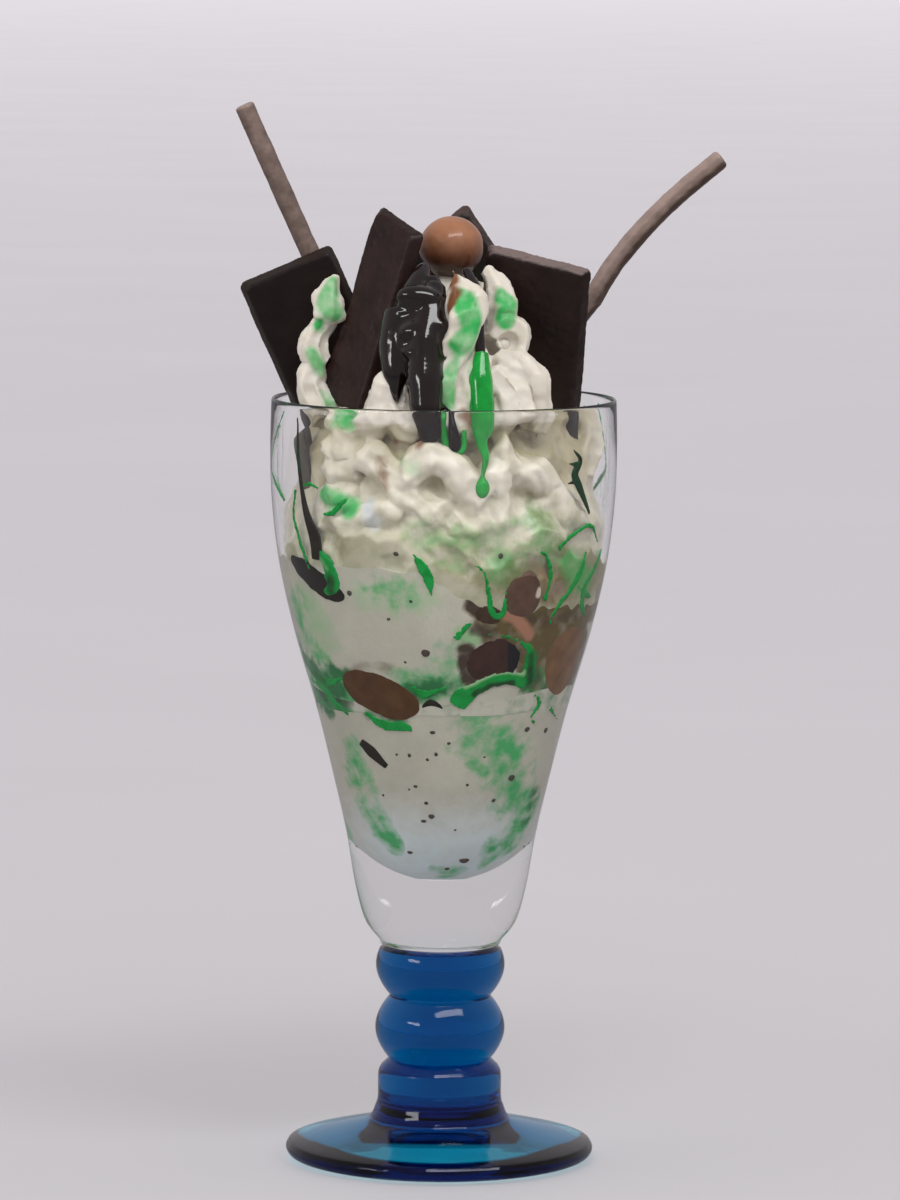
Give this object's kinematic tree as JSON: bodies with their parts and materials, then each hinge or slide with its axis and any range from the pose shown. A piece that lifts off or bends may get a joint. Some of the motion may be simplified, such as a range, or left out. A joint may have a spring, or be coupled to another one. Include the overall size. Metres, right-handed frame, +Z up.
{
  "type": "ice cream sundae",
  "caption": "Layered ice cream sundae with piped cream, malt balls, mint thins and chocolate sticks in a clear glass on a blue footed stem.",
  "frame": {"origin": "centre of the foot's flat underside", "axes": "+Z up through the glass, served side faces -Y, +X to the right of the served side"},
  "size_m": [0.1313, 0.0924, 0.2827],
  "materials": {
    "clear_glass": "polished clear pressed glass",
    "blue_glass": "polished deep blue glass",
    "vanilla_ice_cream": "soft matte, slightly melted ice cream with dark specks",
    "whipped_cream": "soft satin whipped cream",
    "mint_syrup": "glossy translucent green syrup",
    "chocolate_sauce": "glossy dark chocolate sauce",
    "milk_chocolate": "satin gloss milk chocolate coating",
    "dark_chocolate": "finely pitted matte dark chocolate",
    "stick_chocolate": "satin chocolate with fine lengthwise grain"
  },
  "bodies": {
    "root": {"glass_stem": "blue_glass", "glass_bowl": "clear_glass", "ice_cream_lower": "vanilla_ice_cream", "mint_syrup_layer": "mint_syrup", "ice_cream_scoop": "vanilla_ice_cream", "whipped_cream": "whipped_cream", "malt_ball_top": "milk_chocolate", "malt_ball_left": "milk_chocolate", "malt_ball_right": "milk_chocolate", "malt_ball_upper": "milk_chocolate", "mint_thin_left_back": "dark_chocolate", "mint_thin_left_front": "dark_chocolate", "mint_thin_right": "dark_chocolate", "mint_thin_back": "dark_chocolate", "mint_thin_sunk": "dark_chocolate", "chocolate_stick_left": "stick_chocolate", "chocolate_stick_right": "stick_chocolate", "chocolate_piece_left": "dark_chocolate", "chocolate_piece_front": "dark_chocolate", "chocolate_piece_upper": "dark_chocolate"}
  },
  "joints": []
}
